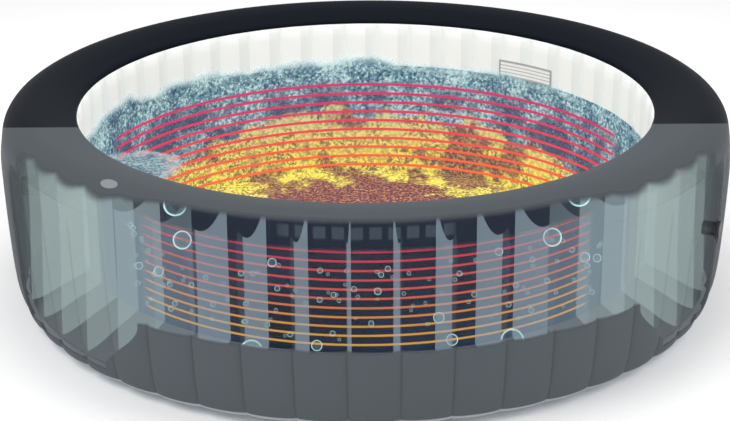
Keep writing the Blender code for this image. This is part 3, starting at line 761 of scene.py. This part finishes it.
def churn_colours(tree):
    """Boiling water as a colour: teal foam up high, yellow below it, crimson in the middle of the floor."""
    where = position(tree)
    x, y, z = split(tree, where)
    wobble = wobble_of(tree, where)
    clump = noise_of(tree, where, **CLUMP)
    froth = noise_of(tree, where, **FROTH)
    grain = noise_of(tree, where, 210.0, 3.0, 0.6)

    teal = murky_foam(tree, where, froth, clump)
    crimson = mix_colour(tree, span(tree, froth, 0.48, 0.62), (0.095, 0.012, 0.034), (0.44, 0.21, 0.075))
    yellow = flecked_yellow(tree, where, froth, clump, crimson)

    bank = less(tree, product(tree, y, 0.30), 0.005)
    is_teal = span(tree, total(tree, less(tree, z, bank), wobble), -0.010, 0.014)
    reach = total(tree, product(tree, x, x, 1.6), product(tree, z, 3.0), product(tree, wobble, 1.6),
                  product(tree, y, 0.5))
    is_crimson = span(tree, reach, 0.52, 0.46)
    colour = mix_colour(tree, is_crimson, yellow, crimson)
    colour = mix_colour(tree, is_teal, colour, teal)
    return mix_colour(tree, span(tree, grain, 0.62, 0.72, 0.0, 0.8), colour, (0.70, 0.78, 0.74))


def foam_colour(tree, where, froth, clump):
    """Teal foam: a fine froth of dark and pale grains that gathers into clumps and upright streaks."""
    streak = noise_of(tree, scaled(tree, where, (1.0, 1.0, 0.12)), 9.0, 3.0)
    shift = total(tree, product(tree, clump, 0.30), product(tree, streak, 0.22))
    tone = total(tree, froth, less(tree, shift, 0.26))
    deep = mix_colour(tree, span(tree, tone, 0.36, 0.48), (0.010, 0.038, 0.095), (0.075, 0.190, 0.260))
    return mix_colour(tree, span(tree, tone, 0.47, 0.62), deep, (0.46, 0.64, 0.65))


def churn_material():
    material, tree, shader = new_material("churning_water")
    recolour(material, churn_colours(tree))
    # The water's colours also glow at part strength: painted light.
    dress(shader, 0.6, specular=0.1, glow=0.45)
    return material


def surface_material():
    """Thin skin of the water, with flecks of foam and one thick patch in front of the filter."""
    material, tree, shader = new_material("water_skin")
    where = position(tree)
    fleck = span(tree, noise_of(tree, where, 110.0, 7.0, 0.75), 0.60, 0.72)
    froth = noise_of(tree, where, **FROTH)
    away = distance(tree, where, FOAM_PATCH)
    ragged = product(tree, less(tree, noise_of(tree, where, 14.0, 6.0, 0.7), 0.5), 0.16)
    patch = span(tree, total(tree, away, ragged), FOAM_REACH, 0.5 * FOAM_REACH)
    thin = span(tree, fleck, 0.0, 1.0, 0.03, 0.30)
    tree.links.new(highest(tree, thin, patch), shader.inputs["Alpha"])
    foam = foam_colour(tree, where, froth, noise_of(tree, where, **CLUMP))
    foam = mix_colour(tree, 0.45, foam, (0.020, 0.055, 0.085))
    tree.links.new(mix_colour(tree, patch, (0.75, 0.85, 0.85), foam), shader.inputs["Base Color"])
    shader.inputs["Roughness"].default_value = 0.25
    bump(tree, shader, noise_of(tree, where, 30.0, 5.0), 0.6, 0.01)
    return material


def foam_collar_material():
    """Spray that climbs the liner above the water with a ragged, soft edge; its foam glows at part
    strength, painted light.
    """
    material, tree, shader = new_material("foam_collar")
    where = position(tree)
    x, _, z = split(tree, where)
    clumps = noise_of(tree, where, 4.0, 6.0, 0.65)
    froth = noise_of(tree, where, **FROTH)
    level = total(tree, product(tree, clumps, 0.13), product(tree, x, -0.030), WATER_LEVEL - 0.052)
    soft = total(tree, less(tree, level, z), product(tree, less(tree, froth, 0.5), 0.060))
    tree.links.new(span(tree, soft, -0.016, 0.030), shader.inputs["Alpha"])
    pale = span(tree, soft, 0.022, -0.006, 0.0, 0.8)
    foam = foam_colour(tree, where, froth, noise_of(tree, where, **CLUMP))
    recolour(material, mix_colour(tree, pale, foam, (0.58, 0.76, 0.78)))
    dress(shader, 0.6, glow=0.35)
    return material


def deep_water_material():
    """Navy seen through the clear front, bluer towards its sides; its colour is glow over a near-black
    base, painted light.
    """
    material, tree, shader = new_material("deep_water")
    side = span(tree, polar(tree)[0], math.radians(14), math.radians(55))
    colour = mix_colour(tree, side, (0.004, 0.009, 0.024), (0.050, 0.085, 0.150))
    murk = span(tree, noise_of(tree, position(tree), 5.0, 4.0), 0.40, 0.70)
    colour = mix_colour(tree, product(tree, murk, 0.35), colour, (0.020, 0.050, 0.120))
    tree.links.new(colour, shader.inputs["Emission Color"])
    dress(shader, 0.6, specular=0.1, base=(0.004, 0.006, 0.012), glow=1.0)
    return material


def swell_of(flat):
    """Height of the small waves at a point of the water's surface."""
    swell = 0.0
    for scale, depth in ((7.0, 0.012), (24.0, 0.006), (70.0, 0.002)):
        swell += noise.noise(flat * scale) * depth
    return swell


def make_water_surface():
    bm = bmesh.new()
    rings, spokes = 60, 180
    centre = bm.verts.new((0.0, 0.0, WATER_LEVEL))
    rows = []
    for i in range(1, rings + 1):
        row = []
        for j in range(spokes):
            flat = on_circle(SURFACE_RADIUS * i / rings, 2 * math.pi * j / spokes, 0.0)
            row.append(bm.verts.new(flat + Vector((0, 0, WATER_LEVEL + swell_of(flat)))))
        rows.append(row)
    for j in range(spokes):
        bm.faces.new((centre, rows[0][j], rows[0][(j + 1) % spokes]))
    for inner, outer in zip(rows, rows[1:]):
        for j in range(spokes):
            k = (j + 1) % spokes
            bm.faces.new((inner[j], outer[j], outer[k], inner[k]))
    staged("water_surface", bm, surface_material())


def make_water():
    make_water_surface()
    bm = bmesh.new()
    add_open_wall(bm, FRONT_WATER_RADIUS, FLOOR_TOP + 0.002, WATER_LEVEL + 0.012,
                  even_angles(-FRONT_WATER_HALF, FRONT_WATER_HALF, 100))
    staged("water_front", bm, deep_water_material())
    bm = bmesh.new()
    add_open_wall(bm, BODY_WATER_RADIUS, FLOOR_TOP + 0.001, WATER_LEVEL,
                  even_angles(FRONT_WATER_HALF, 2 * math.pi - FRONT_WATER_HALF, 120))
    floor_edge = [on_circle(BODY_WATER_RADIUS, 2 * math.pi * i / 120, 0.030) for i in range(120)]
    bm.faces.new([bm.verts.new(point) for point in floor_edge])
    staged("water_body", bm, churn_material())
    bm = bmesh.new()
    add_open_wall(bm, SPRAY_RADIUS, WATER_LEVEL - 0.02, SPRAY_TOP,
                  even_angles(SPRAY_START, 2 * math.pi - SPRAY_START, 120))
    staged("water_spray", bm, foam_collar_material())


def add_open_wall(bm, radius, low, high, angles):
    lower = [bm.verts.new(on_circle(radius, a, low)) for a in angles]
    upper = [bm.verts.new(on_circle(radius, a, high)) for a in angles]
    for i in range(len(angles) - 1):
        bm.faces.new((lower[i], lower[i + 1], upper[i + 1], upper[i]))


def bubble_material():
    """Thin-walled bubble: clear in the middle, with a painted rim light: a teal-white glow at its rim."""
    material, tree, shader = new_material("bubble_skin")
    tree.links.new(edge_on(tree, 0.36, 0.70, 0.04, 0.85), shader.inputs["Alpha"])
    shader.inputs["Emission Color"].default_value = (0.42, 0.72, 0.72, 1.0)
    dress(shader, 0.1, base=(0.55, 0.80, 0.80), glow=0.9)
    return material


SMALL_BUBBLES = 110
# (angle in degrees, height, radius) of the big bubbles
BIG_BUBBLES = [
    (-35.0, 0.385, 0.024), (35.5, 0.385, 0.024), (-36.0, 0.480, 0.030), (41.5, 0.480, 0.030),
    (-21.0, 0.120, 0.030), (27.0, 0.130, 0.030), (-42.0, 0.270, 0.013), (-17.0, 0.365, 0.011),
    (13.0, 0.220, 0.014), (15.5, 0.155, 0.015), (-9.0, 0.150, 0.014), (45.0, 0.290, 0.013),
    (24.5, 0.375, 0.010), (-48.0, 0.260, 0.010), (2.0, 0.300, 0.009), (49.0, 0.270, 0.011),
]


def make_bubbles():
    random.seed(7)
    bm = bmesh.new()
    spots = list(BIG_BUBBLES)
    for _ in range(SMALL_BUBBLES):
        angle, height = random.uniform(-52, 52), random.uniform(0.16, 0.37)
        spots.append((angle, height, random.choice((0.004, 0.005, 0.007))))
    for angle, height, radius in spots:
        centre = on_circle(0.790 + 0.8 * radius, math.radians(angle), height)
        ball = bmesh.ops.create_icosphere(bm, subdivisions=3, radius=radius)
        bmesh.ops.translate(bm, verts=ball["verts"], vec=centre)
    staged("water_bubbles", bm, bubble_material())


# ---------------------------------------------------------------- fittings


def from_middle(tree, value, low, high):
    """Distance of value from the middle of low..high, as a share of the whole."""
    share = maths(tree, "DIVIDE", less(tree, value, low), high - low)
    return maths(tree, "ABSOLUTE", less(tree, share, 0.5))


def ruled_label():
    """White label with a thin frame and plain grey rules in place of print."""
    material = lit_vinyl("label_finish", LABEL_WHITE, 0.2)
    tree = material.node_tree
    low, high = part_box("blank_label")
    x, _, z = split(tree, position(tree))
    up = maths(tree, "DIVIDE", less(tree, z, low.z), high.z - low.z)
    row = maths(tree, "FRACT", product(tree, up, 5.0))
    rules = maths(tree, "LESS_THAN", maths(tree, "ABSOLUTE", less(tree, row, 0.5)), 0.16)
    ends = maths(tree, "GREATER_THAN", from_middle(tree, z, low.z, high.z), 0.43)
    sides = maths(tree, "GREATER_THAN", from_middle(tree, x, low.x, high.x), 0.47)
    border = highest(tree, ends, sides)
    ink = highest(tree, product(tree, rules, 0.55), product(tree, border, 0.75))
    recolour(material, mix_colour(tree, ink, LABEL_WHITE, LABEL_INK))
    return material


def make_fittings():
    black = plastic("black_moulding_finish", (0.022, 0.023, 0.025), 0.42)
    grey = plastic("grey_fitting_finish", (0.36, 0.38, 0.40), 0.4)
    rubber = plastic("seal_rubber_finish", (0.015, 0.015, 0.015), 0.8)
    assign(black, "valve_body", "valve_stem", "valve_cap", "air_port_plug", "outlet_cap", "inlet_cap",
           "drain_cap", "drain_plug", "heater_gland")
    assign(grey, "air_port_tube", "outlet_tube", "inlet_tube", "drain_tube", "filter_mount")
    assign(rubber, "outlet_seal", "inlet_seal", "drain_seal")
    steel, tree, shader = new_material("spring_steel_finish")
    shader.inputs["Metallic"].default_value = 1.0
    shader.inputs["Base Color"].default_value = (0.62, 0.62, 0.64, 1.0)
    polish = span(tree, noise_of(tree, position(tree), 400.0), 0.3, 0.7, 0.2, 0.4)
    tree.links.new(polish, shader.inputs["Roughness"])
    assign(steel, "valve_spring")
    paper = vinyl("filter_media_finish", (0.74, 0.78, 0.82), 0.8, grain=300.0)
    assign(paper, "filter_cartridge")
    # The label and the badge glow with a share of their tone: painted light.
    assign(ruled_label(), "blank_label")
    assign(lit_vinyl("badge_finish", (0.15, 0.17, 0.18), 0.25), "rim_badge")


# ---------------------------------------------------------------- studio

CAMERA_DISTANCE = 5.473
CAMERA_ELEVATION = math.radians(21.546)
CAMERA_ROLL = math.radians(-0.334)
AIM_HEIGHT = 0.2004
LENS_MM = 93.64
SHIFT_X = -0.00144


def make_camera():
    data = bpy.data.cameras.new("camera")
    data.lens = LENS_MM
    data.sensor_width = 36.0
    data.shift_x = SHIFT_X
    data.clip_end = 50.0
    camera = bpy.data.objects.new("camera", data)
    rise = CAMERA_DISTANCE * math.sin(CAMERA_ELEVATION)
    spot = Vector((0.0, -CAMERA_DISTANCE * math.cos(CAMERA_ELEVATION), AIM_HEIGHT + rise))
    tilt = Matrix.Rotation(math.pi / 2 - CAMERA_ELEVATION, 4, "X")
    camera.matrix_world = Matrix.Translation(spot) @ tilt @ Matrix.Rotation(CAMERA_ROLL, 4, "Z")
    bpy.context.scene.collection.objects.link(camera)
    bpy.context.scene.camera = camera


def add_area(name, spot, target, size, power):
    data = bpy.data.lights.new(name, "AREA")
    data.energy = power
    data.size = size
    lamp = bpy.data.objects.new(name, data)
    lamp.location = spot
    lamp.rotation_euler = (Vector(target) - Vector(spot)).to_track_quat("-Z", "Y").to_euler()
    bpy.context.scene.collection.objects.link(lamp)


def make_studio():
    scene = bpy.context.scene
    world = bpy.data.worlds.new("studio")
    world.use_nodes = True
    sky = world.node_tree.nodes["Background"]
    sky.inputs["Color"].default_value = (1.0, 1.0, 1.0, 1.0)
    sky.inputs["Strength"].default_value = 0.75
    scene.world = world
    scene.view_settings.view_transform = "Standard"
    add_area("key", (-2.6, -2.4, 3.6), (0, 0, 0.3), 2.5, 90)
    add_area("fill", (3.0, -1.5, 2.6), (0, 0, 0.3), 2.5, 45)
    add_area("top", (0.0, 0.6, 3.8), (0, 0.1, 0.3), 3.0, 60)
    bm = bmesh.new()
    bmesh.ops.create_grid(bm, x_segments=1, y_segments=1, size=14.0)
    floor, _, shader = new_material("studio_floor")
    dress(shader, 0.8, specular=0.1, base=(0.93, 0.93, 0.93))
    ground = staged("studio_floor", bm, floor)
    ground.location.z = -0.0005


# ---------------------------------------------------------------- assembly


def main():
    bpy.context.scene.cycles.transparent_max_bounces = 48
    make_camera()
    make_studio()
    make_skins()
    make_baffles()
    make_heating()
    make_fittings()
    make_water()
    make_bubbles()


main()
